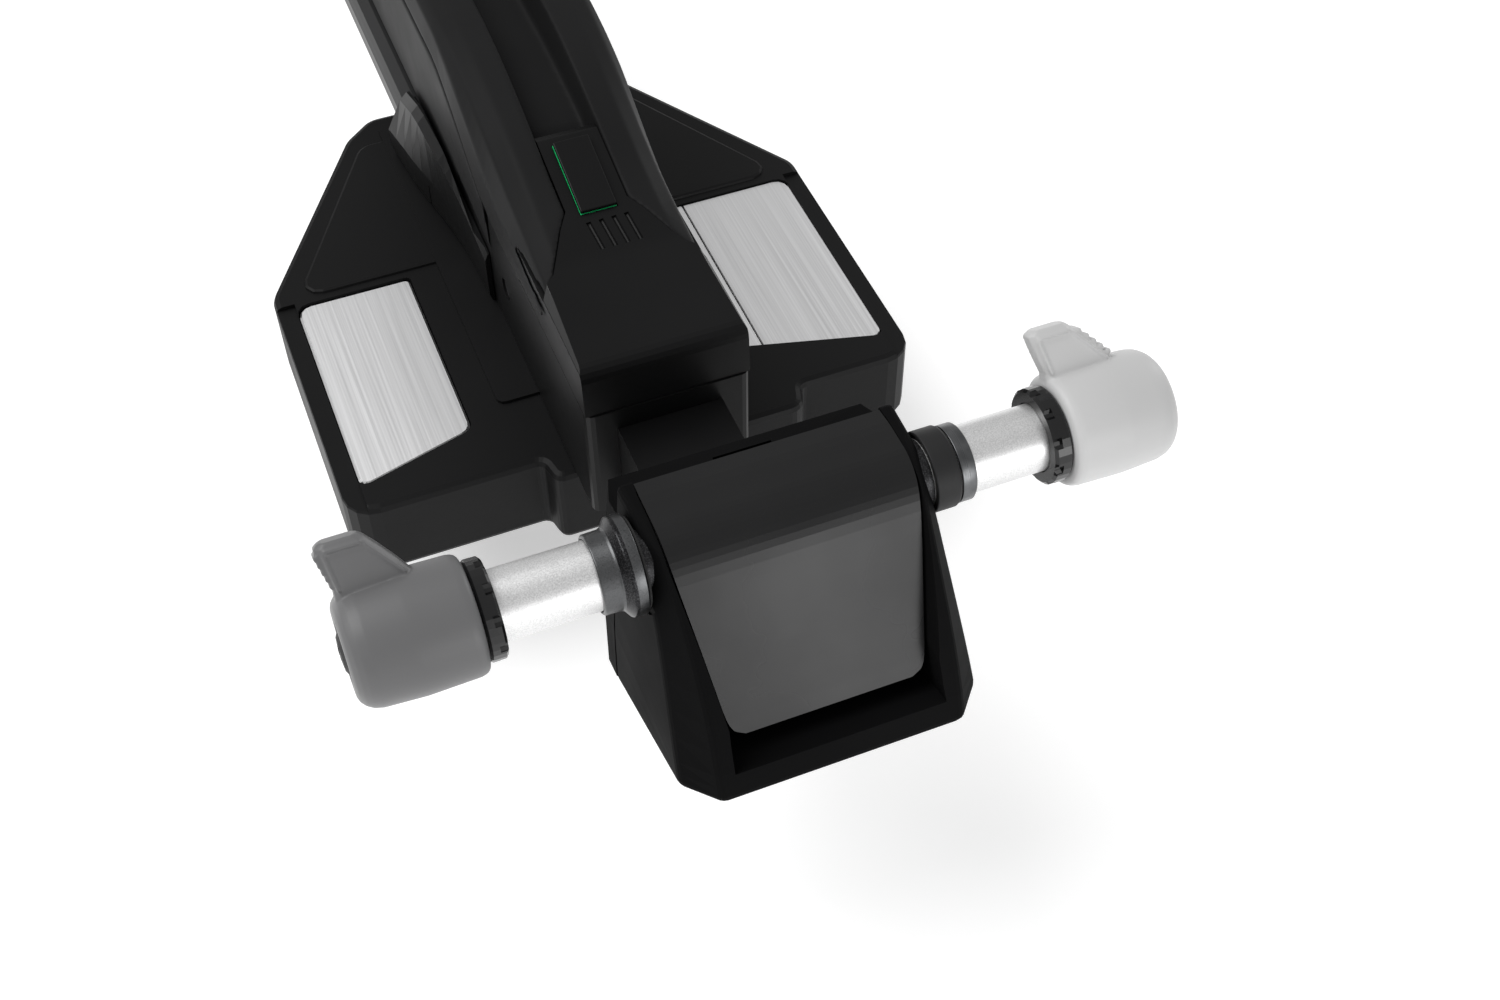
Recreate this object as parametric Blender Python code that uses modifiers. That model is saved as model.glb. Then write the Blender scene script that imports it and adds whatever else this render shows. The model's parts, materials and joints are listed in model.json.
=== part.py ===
"""Fork-mount roof bicycle carrier: a foot on the front bar, a clamp head, a wheel tray and a rear foot.

Lengths in this file are millimetres, measured from the centre of the through-axle: X to the
right along the axle, Y rearwards along the tray, Z up. at() turns such a point into metres
from the part's origin, which is the middle of the rubber pad under the front foot.
"""
import math

import bmesh
import bpy
from mathutils import Matrix, Vector

MM = 0.001
GAP = 0.3               # clearance between touching solids

# Driving dimensions
HUB_WIDTH = 110.0       # space between the fork ends, on a 20 mm through-axle hub
TUBE_R = 10.0           # outside radius of the axle tube
ROD_R = 4.0             # radius of the draw rod inside it
AXLE_AHEAD = 228.0      # the axle lies this far ahead of the front bar's centre
AXLE_HEIGHT = 124.0     # and this far above the bar's seat
BASE_TOP = -88.0        # top of the base plate
BASE_HALF = 105.4       # half of the base's width
BASE_FRONT = 122.4
BASE_REAR = 328.0
BASE_SOLE = -121.0      # underside of the base plate
PAD_SOLE = -AXLE_HEIGHT # underside of the bar pads, level with the origin
BAR_Y = AXLE_AHEAD      # centre of the front bar
REAR_BAR_Y = 930.0      # centre of the rear bar
BAR_HALF = 40.0         # half of the bar's depth
GROUND = -165.0         # underside of both clamps
TRAY_FRONT = 262.0
TRAY_REAR = 1232.0
HOUSING_HALF = 28.2
HOUSING_FRONT = 91.6
PARTING = -40.5         # joint between the lower housing and its cover
CRADLE_Y = 1050.0       # where the wheel cradle stands at rest
KNOB_R = 17.0
FIN_ANGLE = math.radians(57.0)  # the fins' lean from rearwards towards upwards
FLAP_PIN = (14.5, 6.5)  # y and z of the flap's hinge pin
BUTTON_TILT = math.radians(16.0)

NAME = "fork_mount_carrier"
MATERIALS = {
    "black_plastic": ((0.012, 0.012, 0.013), 0.38, 0.0),
    "gloss_black": ((0.010, 0.010, 0.011), 0.12, 0.0),
    "soft_black": ((0.016, 0.016, 0.017), 0.60, 0.0),
    "black_rubber": ((0.020, 0.020, 0.020), 0.80, 0.0),
    "knob_grey": ((0.155, 0.155, 0.158), 0.45, 0.0),
    "pale_grey": ((0.58, 0.58, 0.58), 0.45, 0.0),
    "aluminium": ((0.72, 0.72, 0.73), 0.32, 1.0),
    "frosted_silver": ((0.80, 0.80, 0.80), 0.42, 1.0),
    "steel": ((0.42, 0.43, 0.44), 0.30, 1.0),
    "green": ((0.010, 0.180, 0.060), 0.35, 0.0),
    "tray_black": ((0.018, 0.018, 0.019), 0.34, 0.3),
    "strap_black": ((0.014, 0.014, 0.015), 0.70, 0.0),
}


# ---------------------------------------------------------------- tools

def at(x, y, z):
    """A point in metres from the origin, given in millimetres from the axle's centre."""
    return Vector((x, y - AXLE_AHEAD, z + AXLE_HEIGHT)) * MM


def start():
    for old in list(bpy.data.objects):
        bpy.data.objects.remove(old, do_unlink=True)
    for title in (NAME, NAME + "_cutters"):
        bpy.context.scene.collection.children.link(bpy.data.collections.new(title))


def material(slot):
    found = bpy.data.materials.get(slot)
    if found:
        return found
    colour, roughness, metallic = MATERIALS[slot]
    made = bpy.data.materials.new(slot)
    made.use_nodes = True
    shader = made.node_tree.nodes["Principled BSDF"]
    shader.inputs["Base Color"].default_value = (*colour, 1.0)
    shader.inputs["Roughness"].default_value = roughness
    shader.inputs["Metallic"].default_value = metallic
    made.diffuse_color = (*colour, 1.0)
    return made


def add(name, bm, slot=None):
    """An object made of a bmesh in millimetres from the axle; with no slot it is a cutter."""
    mesh = bpy.data.meshes.new(name)
    to_part = Matrix.Translation(at(0, 0, 0)) @ Matrix.Scale(MM, 4)
    bmesh.ops.transform(bm, matrix=to_part, verts=bm.verts)
    bmesh.ops.recalc_face_normals(bm, faces=bm.faces)
    bm.to_mesh(mesh)
    bm.free()
    made = bpy.data.objects.new(name, mesh)
    bpy.data.collections[NAME if slot else NAME + "_cutters"].objects.link(made)
    if slot:
        mesh.materials.append(material(slot))
    else:
        made.hide_render = True
        made.display_type = "WIRE"
    return made


def block(name, low, high, slot=None):
    bm = bmesh.new()
    bmesh.ops.create_cube(bm, size=1.0)
    size = Vector(high) - Vector(low)
    middle = (Vector(high) + Vector(low)) / 2
    bmesh.ops.transform(bm, matrix=Matrix.Translation(middle) @ Matrix.Diagonal((*size, 1.0)), verts=bm.verts)
    return add(name, bm, slot)


def rod(name, start_point, end_point, radius, slot=None, sides=32, end_radius=None):
    """A cylinder or cone between two points."""
    a = Vector(start_point)
    b = Vector(end_point)
    bm = bmesh.new()
    bmesh.ops.create_cone(bm, cap_ends=True, segments=sides, radius1=radius, depth=(b - a).length,
                          radius2=radius if end_radius is None else end_radius)
    turn = (b - a).to_track_quat("Z", "Y").to_matrix().to_4x4()
    bmesh.ops.transform(bm, matrix=Matrix.Translation((a + b) / 2) @ turn, verts=bm.verts)
    return add(name, bm, slot)


def turned(name, profile, slot, sides=32):
    """A piece turned about the axle's line. The profile lists (x, radius) round the closed section."""
    bm = bmesh.new()
    ring = [bm.verts.new((x, r, 0.0)) for x, r in profile]
    for first, second in zip(ring, ring[1:]):
        bm.edges.new((first, second))
    if profile[0][1] > 0:
        bm.edges.new((ring[-1], ring[0]))
    bmesh.ops.spin(bm, geom=bm.verts[:] + bm.edges[:], axis=(1, 0, 0), cent=(0, 0, 0),
                   angle=math.tau, steps=sides, use_merge=True)
    bmesh.ops.remove_doubles(bm, verts=bm.verts, dist=0.001)
    return add(name, bm, slot)


def loft(name, rings, slot=None):
    """A solid through closed rings of the same number of points, capped at both ends."""
    bm = bmesh.new()
    rows = [[bm.verts.new(p) for p in ring] for ring in rings]
    count = len(rows[0])
    for low, high in zip(rows, rows[1:]):
        for i in range(count):
            j = (i + 1) % count
            bm.faces.new((low[i], low[j], high[j], high[i]))
    bm.faces.new(rows[0])
    bm.faces.new(rows[-1])
    return add(name, bm, slot)


def eased(rows, steps):
    """More rows, on smooth curves that run through these without swinging past them. A row starts
    with its place along the curve."""
    rates = [[(b - a) / (high[0] - low[0]) for a, b in zip(low, high)] for low, high in zip(rows, rows[1:])]
    slopes = [rates[0]]
    for before, after in zip(rates, rates[1:]):
        slopes.append([2 * a * b / (a + b) if a * b > 0 else 0.0 for a, b in zip(before, after)])
    slopes.append(rates[-1])
    result = [tuple(rows[0])]
    for low, high, start_slope, end_slope in zip(rows, rows[1:], slopes, slopes[1:]):
        span = high[0] - low[0]
        for step in range(1, steps + 1):
            t = step / steps
            blend = t * t * (3 - 2 * t)
            leave = span * t * (1 - t) ** 2
            reach = span * t * t * (1 - t)
            result.append(tuple(a + (b - a) * blend + leave * m - reach * n
                                for a, b, m, n in zip(low, high, start_slope, end_slope)))
    return result


def rounded(points, radii, steps=4):
    """An outline with its corners rounded by arcs; radii gives one radius per corner."""
    result = []
    count = len(points)
    for i, radius in enumerate(radii):
        corner = Vector(points[i])
        if radius <= 0:
            result.append(tuple(corner))
            continue
        back = (Vector(points[i - 1]) - corner).normalized()
        ahead = (Vector(points[(i + 1) % count]) - corner).normalized()
        half = back.angle(ahead) / 2
        centre = corner + (back + ahead).normalized() * (radius / math.sin(half))
        first = corner + back * (radius / math.tan(half)) - centre
        last = corner + ahead * (radius / math.tan(half)) - centre
        sweep = first.angle_signed(last)
        for step in range(steps + 1):
            turn = -sweep * step / steps
            result.append((centre.x + first.x * math.cos(turn) - first.y * math.sin(turn),
                           centre.y + first.x * math.sin(turn) + first.y * math.cos(turn)))
    return result


def slab(name, outline, plane, low, high, slot=None, holes=()):
    """A flat outline with thickness. Its plane is XY (thick in Z), YZ (thick in X) or XZ (thick in Y)."""
    curve = bpy.data.curves.new(name, "CURVE")
    curve.dimensions = "2D"
    curve.fill_mode = "BOTH"
    curve.extrude = (high - low) / 2
    for ring in (outline, *holes):
        spline = curve.splines.new("POLY")
        spline.points.add(len(ring) - 1)
        spline.use_cyclic_u = True
        for point, place in zip(spline.points, ring):
            point.co = (place[0], place[1], 0.0, 1.0)
    flat = bpy.data.objects.new(name + "_outline", curve)
    bpy.context.scene.collection.objects.link(flat)
    bpy.context.view_layer.update()
    mesh = bpy.data.meshes.new_from_object(flat.evaluated_get(bpy.context.evaluated_depsgraph_get()))
    bpy.data.objects.remove(flat, do_unlink=True)
    bm = bmesh.new()
    bm.from_mesh(mesh)
    bmesh.ops.remove_doubles(bm, verts=bm.verts, dist=0.001)
    bmesh.ops.dissolve_limit(bm, angle_limit=0.001, verts=bm.verts, edges=bm.edges)
    middle = (low + high) / 2
    turn = {
        "XY": Matrix.Translation((0, 0, middle)),
        "YZ": Matrix.Translation((middle, 0, 0)) @ Matrix(((0, 0, 1, 0), (1, 0, 0, 0), (0, 1, 0, 0), (0, 0, 0, 1))),
        "XZ": Matrix.Translation((0, middle, 0)) @ Matrix(((1, 0, 0, 0), (0, 0, -1, 0), (0, 1, 0, 0), (0, 0, 0, 1))),
    }[plane]
    bmesh.ops.transform(bm, matrix=turn, verts=bm.verts)
    return add(name, bm, slot)


def combine(target, other, operation):
    """A Boolean between a piece and a cutter, left on the piece as a modifier."""
    step = target.modifiers.new(other.name, "BOOLEAN")
    step.operation = operation
    step.solver = "EXACT"
    step.object = other
    return target


def cut(target, *cutters):
    for cutter in cutters:
        combine(target, cutter, "DIFFERENCE")
    return target


def grow(target, *pieces):
    for piece in pieces:
        combine(target, piece, "UNION")
    return target


def soften(target, width, segments=2, angle=30.0):
    step = target.modifiers.new("edges", "BEVEL")
    step.width = width * MM
    step.segments = segments
    step.limit_method = "ANGLE"
    step.angle_limit = math.radians(angle)
    step.use_clamp_overlap = True
    return target


def smooth(target, angle=35.0):
    target.data.shade_smooth()
    target.data.set_sharp_from_angle(angle=math.radians(angle))
    return target


def pivot(target, x, y, z):
    """Puts a piece's own origin on its joint, leaving the piece where it is."""
    place = at(x, y, z)
    target.data.transform(Matrix.Translation(-place))
    target.location = place
    return target


def mirrored(half):
    """A closed outline from its right half, listed from the top of the centre line to the bottom."""
    return list(half) + [(-u, v) for u, v in reversed(half) if abs(u) > 1e-6]


# ---------------------------------------------------------------- head

def head_ring(z_front, z_side, z_rear, front_half, front_y, side_half, side_y, rear_half, rear_y):
    return [(-front_half, front_y, z_front), (front_half, front_y, z_front), (side_half, side_y, z_side),
            (rear_half, rear_y, z_rear), (-rear_half, rear_y, z_rear), (-side_half, side_y, z_side)]


HEAD_REAR = 17.4
SIDE_HOLE_R = TUBE_R + 0.4


def head_housing():
    rows = eased([
        (12.6, 12.6, 12.6, 38.5, 3.0, 40.3, 8.0, 40.8, HEAD_REAR),
        (10.4, 10.0, 10.0, 37.6, -8.0, 41.0, -1.5, 41.4, HEAD_REAR),
        (1.0, 0.0, 0.0, 37.2, -18.0, 42.0, -9.0, 42.0, HEAD_REAR),
        (-14.0, -15.0, -15.0, 36.8, -29.5, 43.0, -18.0, 43.0, HEAD_REAR),
        (-29.0, -32.0, -32.0, 36.8, -39.0, 44.4, -27.0, 44.3, HEAD_REAR),
        (-44.0, -47.0, -50.0, 37.0, -45.8, 45.6, -34.5, 45.6, HEAD_REAR),
        (-53.0, -54.0, -74.0, 37.0, -48.6, 46.0, -38.0, 46.0, HEAD_REAR),
    ], 2)
    rows.append((-56.5, -59.5, -79.0, 35.0, -46.0, 43.5, -35.0, 43.5, HEAD_REAR))
    shell = soften(loft("head_housing", [head_ring(*row) for row in rows], "black_plastic"), 2.0, 2, 24.0)
    hollow = loft("head_hollow", [
        [(-37.1, -70, 30), (37.1, -70, 30), (37.1, 13.0, 30), (-37.1, 13.0, 30)],
        [(-37.1, -70, 8), (37.1, -70, 8), (37.1, 13.0, 8), (-37.1, 13.0, 8)],
        [(-31.6, -70, -30), (31.6, -70, -30), (31.6, 13.0, -36), (-31.6, 13.0, -36)],
        [(-32.2, -70, -37.5), (32.2, -70, -37.5), (32.2, 13.0, -64), (-32.2, 13.0, -64)],
    ])
    notch = block("head_slot", (-36.9, 12.2, -1.5), (36.9, 30.0, 31.0))
    bore = rod("head_bore", (-60, 0, 0), (60, 0, 0), SIDE_HOLE_R)
    pin_hole = rod("pin_hole", (-39.6, *FLAP_PIN), (39.6, *FLAP_PIN), 2.15, sides=12)
    seats = [rod("washer_seat", (side * 42.1, 0, 0), (side * 60.0, 0, 0), 15.0, sides=40) for side in (-1, 1)]
    cut(shell, hollow, notch, bore, pin_hole, *seats)


def head_back_cover():
    rings = [
        head_ring(-0.8, -0.8, -2.4, 41.4, 17.7, 41.8, 24.0, 39.0, 32.8),
        head_ring(-16.0, -16.0, -16.0, 43.0, 17.7, 43.2, 26.0, 40.0, 33.0),
        head_ring(-50.0, -50.0, -50.0, 45.4, 17.7, 45.4, 26.0, 42.0, 33.0),
        head_ring(-74.0, -75.0, -76.0, 46.0, 17.7, 46.0, 25.0, 42.5, 33.0),
        head_ring(-79.0, -80.0, -81.0, 43.5, 17.7, 43.5, 25.0, 40.0, 33.0),
    ]
    shell = loft("head_back_cover", rings, "black_plastic")
    step = block("back_step", (-29.0, 10.0, -9.0), (29.0, 23.4, 10.0))
    notch = block("back_notch", (-9.0, 10.0, -9.0), (9.0, 28.8, 10.0))
    cut(shell, step, notch)


def front_flap():
    """The hinged cover on the head's face: a bent plate that narrows downwards, with hinge lugs."""
    line = eased([  # y, z of the outer face, and half the width there
        (16.2, 12.3, 36.6), (8.0, 12.9, 36.8), (0.0, 12.9, 36.8), (-5.0, 11.9, 36.7), (-9.2, 9.4, 36.5),
        (-13.0, 5.0, 36.0), (-18.0, -3.5, 34.8), (-24.0, -15.0, 33.1), (-30.0, -27.0, 31.4),
        (-34.6, -36.0, 30.0), (-36.3, -39.2, 28.6), (-37.2, -40.9, 25.4),
    ], 3)
    thickness = 2.0
    rings = []
    for i, (y, z, half) in enumerate(line):
        before = Vector(line[max(i - 1, 0)][:2])
        after = Vector(line[min(i + 1, len(line) - 1)][:2])
        along = (after - before).normalized()
        inward = Vector((-along.y, along.x)) * thickness
        rings.append([(-half, y, z), (half, y, z), (half, y + inward.x, z + inward.y),
                      (-half, y + inward.x, z + inward.y)])
    flap = loft("front_flap", rings, "gloss_black")
    y, z = FLAP_PIN
    for side in (-1, 1):
        low = min(side * 24.0, side * 31.0)
        lug = slab("flap_lug", rounded([(y - 2.8, z + 5.4), (y + 1.2, z + 5.4), (y + 3.2, z), (y, z - 3.2),
                                        (y - 3.6, z)], [0, 0, 1.5, 2.0, 1.5], 2), "YZ", low, low + 7.0)
        grow(flap, lug)
    cut(flap, rod("lug_hole", (-35, y, z), (35, y, z), 2.1, sides=16))
    pivot(flap, 0, y, z)


def flap_hinge_pin():
    rod("flap_hinge_pin", (-39.0, *FLAP_PIN), (39.0, *FLAP_PIN), 1.8, "steel", 16)


def axle_tube():
    end = 86.0
    bore = ROD_R + 0.5
    smooth(turned("axle_tube", [(-end, bore), (-end, TUBE_R - 0.6), (-end + 0.6, TUBE_R), (end - 0.6, TUBE_R),
                                (end, TUBE_R - 0.6), (end, bore)], "frosted_silver"))


def draw_rod():
    smooth(rod("draw_rod", (-104.0, 0, 0), (103.5, 0, 0), ROD_R, "steel", 24))


def hub_washers():
    """The stops that the fork ends close on. The left one is a cone with a large steel flange."""
    bore = TUBE_R + 0.3
    face = HUB_WIDTH / 2
    left = turned("left_cone_washer", [(-face, bore), (-face, 11.4), (-49.4, 11.6), (-48.6, 12.4),
                                       (-47.4, 14.3), (-43.6, 14.3), (-43.2, 13.9), (-43.2, bore)], "steel")
    seat = turned("left_seat_ring", [(-42.9, bore), (-42.9, 13.0), (-42.3, 13.0), (-42.3, bore)], "black_rubber")
    ring = turned("right_spacer_ring", [(42.5, bore), (42.5, 12.0), (49.4, 12.0), (50.2, 11.4), (50.2, bore)],
                  "soft_black")
    disc = turned("right_washer", [(50.5, bore), (50.5, 11.4), (face - 0.5, 11.4), (face, 10.9), (face, bore)],
                  "steel")
    for piece in (left, seat, ring, disc):
        smooth(piece)


def fin(name, side_x, lean_x, thickness, reach, half_base, half_tip):
    """The thumb fin of a knob: a tapered tab that stands out from the knob along FIN_ANGLE."""
    out = Vector((0, math.cos(FIN_ANGLE), math.sin(FIN_ANGLE)))
    across = Vector((0, -math.sin(FIN_ANGLE), math.cos(FIN_ANGLE)))
    rings = []
    for distance, shift, half in ((6.0, side_x, half_base), (15.5, side_x, half_base),
                                  (reach - 4.0, lean_x, half_tip), (reach, lean_x, half_tip - 2.5)):
        centre = Vector((shift, 0, 0)) + out * distance
        rings.append([tuple(centre + Vector((sx * half, 0, 0)) + across * sy * thickness / 2)
                      for sx, sy in ((-1, -1), (1, -1), (1, 1), (-1, 1))])
    return loft(name, rings)


def knob(side, inner, outer, fin_base, fin_tip, slot):
    """A clamp knob from x = inner to x = outer, with its thumb fin. The tube runs into it."""
    name = side + "_knob"
    sign = 1 if outer > inner else -1
    length = abs(outer - inner)
    bore = TUBE_R + 0.5
    deep = 14.5
    profile = [(0.0, bore), (0.0, KNOB_R - 2.0), (1.0, KNOB_R - 0.6), (3.0, KNOB_R), (length * 0.55, KNOB_R + 0.4),
               (length - 5.0, KNOB_R - 0.4), (length - 1.8, KNOB_R - 1.8), (length, KNOB_R - 4.6),
               (length, 8.4), (length - 3.0, 8.4), (length - 3.0, ROD_R + 0.3), (deep, ROD_R + 0.3), (deep, bore)]
    body = turned(name, [(inner + sign * x, r) for x, r in profile], slot, 36)
    handle = fin(name + "_fin", fin_base, fin_tip, 8.0, 31.0, 10.4, 6.8)
    core = rod(name + "_core", (inner - sign * 5, 0, 0), (outer + sign * 5, 0, 0), bore, sides=36)
    cut(handle, core)
    pivot(grow(body, handle), inner, 0, 0)


def collar(side, inner, outer):
    """The notched ring between the fork end and a knob."""
    sign = 1 if outer > inner else -1
    bore = TUBE_R + 0.4
    width = abs(outer - inner)
    profile = [(0.0, bore), (0.0, 13.4), (0.8, 14.3), (width - 0.6, 14.3), (width, 13.8), (width, bore)]
    ring = turned(side + "_collar", [(inner + sign * x, r) for x, r in profile], "gloss_black", 36)
    count = 10
    for i in range(count):
        turn = math.tau * i / count
        y = 15.0 * math.cos(turn)
        z = 15.0 * math.sin(turn)
        cut(ring, rod(side + "_notch_%d" % i, (inner - sign * 3, y, z), (inner + sign * 2.4, y, z), 1.9, sides=10))
    pivot(ring, inner, 0, 0)


def knob_cap(name, side_x, sign):
    """The domed lock core in a knob's end, or its blind copy."""
    profile = [(0.0, 0.0), (0.0, 8.0), (1.8, 8.0), (3.4, 7.0), (4.6, 4.6), (5.0, 0.0)]
    cap = turned(name, [(side_x + sign * x, r) for x, r in profile], "soft_black", 24)
    if name == "lock_core":
        cut(cap, block("key_slot", (side_x + sign * 6, -1.1, -3.6), (side_x + sign * 1.6, 1.1, 3.6)))
    pivot(cap, side_x, 0, 0)


# ---------------------------------------------------------------- neck, base and housing

def neck():
    half = 18.0
    rings = []
    for y, top, sole in ((33.3, -48.5, -78.0), (60.0, -48.5, -83.0), (HOUSING_FRONT - GAP, -48.5, -85.5)):
        rings.append([(-half, y, sole + 3), (-half, y, top), (half, y, top), (half, y, sole + 3),
                      (half - 3, y, sole), (-half + 3, y, sole)])
    loft("neck", rings, "black_plastic")


def base_outline(inset=0.0):
    side = BASE_HALF - inset
    front = BASE_FRONT + inset
    rear = BASE_REAR - inset
    return rounded([(-side, front), (-37.0, front), (-35.0, front - 9.9), (57.0, front - 9.9), (60.0, front + 0.2),
                    (side, front + 0.1), (side, 238.0), (57.0, 318.0), (45.0, rear), (-45.0, rear),
                    (-57.0, 318.0), (-side, 238.0)],
                   [11.0, 3.0, 4.0, 6.0, 3.0, 11.0, 12.0, 16.0, 10.0, 10.0, 16.0, 12.0])


def window(side, inner):
    """The opening over one metal plate; its front edge runs at a slant."""
    slant = 12.0 / 43.7
    outer = 98.3
    front = 134.0
    return [(side * outer, front), (side * outer, 230.0), (side * inner, 230.0),
            (side * inner, front + (outer - inner) * slant)]


PLATE_SINK = 3.6
INNER_PAD_TOP = BASE_TOP + 1.2


def base_moulding():
    base = slab("base_moulding", base_outline(), "XY", BASE_SOLE, BASE_TOP, "soft_black")
    soften(base, 2.4, 2, 50.0)
    for side in (-1, 1):
        edges = sorted((side * 98.2, side * 110.0))
        cut(base, block("outer_bar", (edges[0], 100.0, BASE_TOP - 1.6), (edges[1], 231.5, -70.0)))
    rear_deck = slab("rear_deck", rounded([(-97.0, 233.0), (97.0, 233.0), (53.0, 311.0), (-53.0, 311.0)],
                                          [6, 6, 8, 8], 3), "XY", BASE_TOP - 4, INNER_PAD_TOP - 0.1)
    inner_pad = slab("inner_pad", rounded([(-43.3, 153.0), (35.0, 153.0), (35.0, 232.0), (43.3, 232.0),
                                           (43.3, 321.0), (-43.3, 321.0)], [3, 3, 0, 0, 3, 3], 3),
                     "XY", BASE_TOP - 4, INNER_PAD_TOP)
    soften(rear_deck, 1.2, 2)
    grow(base, rear_deck)
    track = block("deck_track", (-43.3, 232.5, INNER_PAD_TOP - 1.2), (43.3, 330.0, -80.0))
    cut(base, track)
    grow(base, inner_pad)
    for side, inner in ((-1, 54.6), (1, 38.0)):
        ring = rounded(window(side, inner), [3, 5, 2, 5], 3)
        if side < 0:
            ring.reverse()
        cut(base, slab("window", ring, "XY", BASE_TOP - PLATE_SINK, -70.0))
    for low, high in (((-88, 128, -130), (88, 168, -98)), ((-54, 288, -130), (54, 310, -98))):
        cut(base, block("pocket", low, high))
    for x, y in CLAMP_BOLTS:
        cut(base, rod("bolt_hole", (x, y, -140), (x, y, -104.5), 4.6, sides=20))


def side_plates():
    """The bright metal plates that show through the base's windows."""
    low = BASE_TOP - PLATE_SINK + GAP
    high = low + 2.6
    for name, side, inner, outer, radii in (("left_side_plate", -1, 55.0, 97.9, (3, 5, 2, 5)),
                                            ("right_side_plate", 1, 55.2, 97.9, (3, 5, 0.5, 0.5)),
                                            ("right_inner_strip", 1, 38.4, 54.7, (0.5, 0.5, 2, 5))):
        slant = 12.0 / 43.7
        front = 134.5 + (98.3 - outer) * slant
        ring = rounded([(side * outer, front), (side * outer, 229.6), (side * inner, 229.6),
                        (side * inner, front + (outer - inner) * slant)], radii, 3)
        if side < 0:
            ring.reverse()
        soften(slab(name, ring, "XY", low, high, "aluminium"), 0.8, 1)


def lower_housing():
    outline = rounded([(-HOUSING_HALF, HOUSING_FRONT), (HOUSING_HALF, HOUSING_FRONT), (HOUSING_HALF, 240.0),
                       (-HOUSING_HALF, 240.0)], [3.0, 3.0, 0, 0], 3)
    housing = slab("lower_housing", outline, "XY", INNER_PAD_TOP + GAP, PARTING - GAP / 2, "black_plastic")
    well = block("housing_well", (-22.0, 100.0, -84.5), (22.0, 230.0, -20.0))
    bolt_hole = rod("side_bolt_hole", (-40, 185.0, -65.0), (40, 185.0, -65.0), 4.3, sides=20)
    cut(housing, well, bolt_hole)


def cover_profile():
    return rounded([(HOUSING_FRONT + 0.6, PARTING + GAP / 2), (HOUSING_FRONT + 1.6, -22.0), (139.0, -18.0),
                    (187.0, -5.6), (190.0, -6.5), (190.0, -24.0), (240.0, -24.0), (240.0, PARTING + GAP / 2)],
                   [0, 5.0, 30.0, 2.0, 0, 0, 0, 0], 4)


def band_edge(inner, gap):
    """The seam between cover and shroud, seen from above, and everything behind it on one side."""
    return [(inner, 158.0 + gap), (14.5, 152.0 + gap), (22.6, 136.0 + gap), (40.0, 120.0 + gap), (40.0, 260.0),
            (inner, 260.0)]


def top_cover():
    cover = slab("top_cover", cover_profile(), "YZ", -HOUSING_HALF, HOUSING_HALF, "black_plastic")
    for side in (-1, 1):
        chamfer = slab("cover_chamfer", [(side * 24.0, 0.0), (side * 40.0, 0.0), (side * 40.0, -36.0),
                                         (side * 28.0, -23.0), (side * 26.0, -19.2)], "XZ", 80.0, 260.0)
        cut(cover, chamfer)
        ring = [(side * x, y) for x, y in band_edge(10.7, 0.0)]
        cut(cover, slab("cover_shoulder", ring, "XY", -24.0, 20.0))
    under = slab("cover_hollow", [(96.0, -60.0), (96.0, -26.0), (140.0, -22.0), (183.0, -27.5), (236.0, -27.5),
                                  (236.0, -60.0)], "YZ", -25.0, 25.0)
    cut(cover, under, button_box("button_well", 0.35, 18.0, rise=12.0))
    for x in (-5.0, -0.6, 3.8, 8.2):
        cut(cover, rod("finger_groove", (x + 1.2, 141.0, -17.6), (x, 152.0, -14.6), 0.9, sides=10))


BUTTON_FRONT = (155.8, -14.6)    # y and z of the button's front top edge
BUTTON_LONG = 29.0
BUTTON_WIDE = 12.6


def button_box(name, margin, depth, slot=None, rise=0.0):
    """A box in line with the button's slope, its top at the button's top face plus rise."""
    y, z = BUTTON_FRONT
    made = slab(name, [(-BUTTON_WIDE / 2 - margin, -margin), (BUTTON_WIDE / 2 + margin, -margin),
                       (BUTTON_WIDE / 2 + margin, BUTTON_LONG + margin),
                       (-BUTTON_WIDE / 2 - margin, BUTTON_LONG + margin)], "XY", -depth, rise, slot)
    shift = Matrix.Translation(at(0, 0, 0))
    slope = Matrix.Translation(Vector((0, y, z)) * MM) @ Matrix.Rotation(BUTTON_TILT, 4, "X")
    made.data.transform(shift @ slope @ shift.inverted())
    return made


def release_button():
    cap = soften(button_box("release_button", 0.0, -0.9, "black_plastic", 2.5), 0.4)
    skirt = button_box("button_skirt", 0.0, 6.0, "green", 0.6)
    for piece in (cap, skirt):
        pivot(piece, 0, *BUTTON_FRONT)


def coil(name, foot, height, radius, wire, turns, slot):
    """A compression spring standing along Z, as one helix."""
    curve = bpy.data.curves.new(name, "CURVE")
    curve.dimensions = "3D"
    curve.bevel_depth = wire * MM
    curve.bevel_resolution = 1
    curve.use_fill_caps = True
    steps = turns * 10
    spline = curve.splines.new("POLY")
    spline.points.add(steps)
    for i, point in enumerate(spline.points):
        turn = math.tau * turns * i / steps
        rise = height * i / steps
        place = at(foot[0] + radius * math.cos(turn), foot[1] + radius * math.sin(turn), foot[2] + rise)
        point.co = (*place, 1)
    bpy.data.collections[NAME].objects.link(bpy.data.objects.new(name, curve))
    curve.materials.append(material(slot))


# ---------------------------------------------------------------- shroud, tray and sockets

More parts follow.
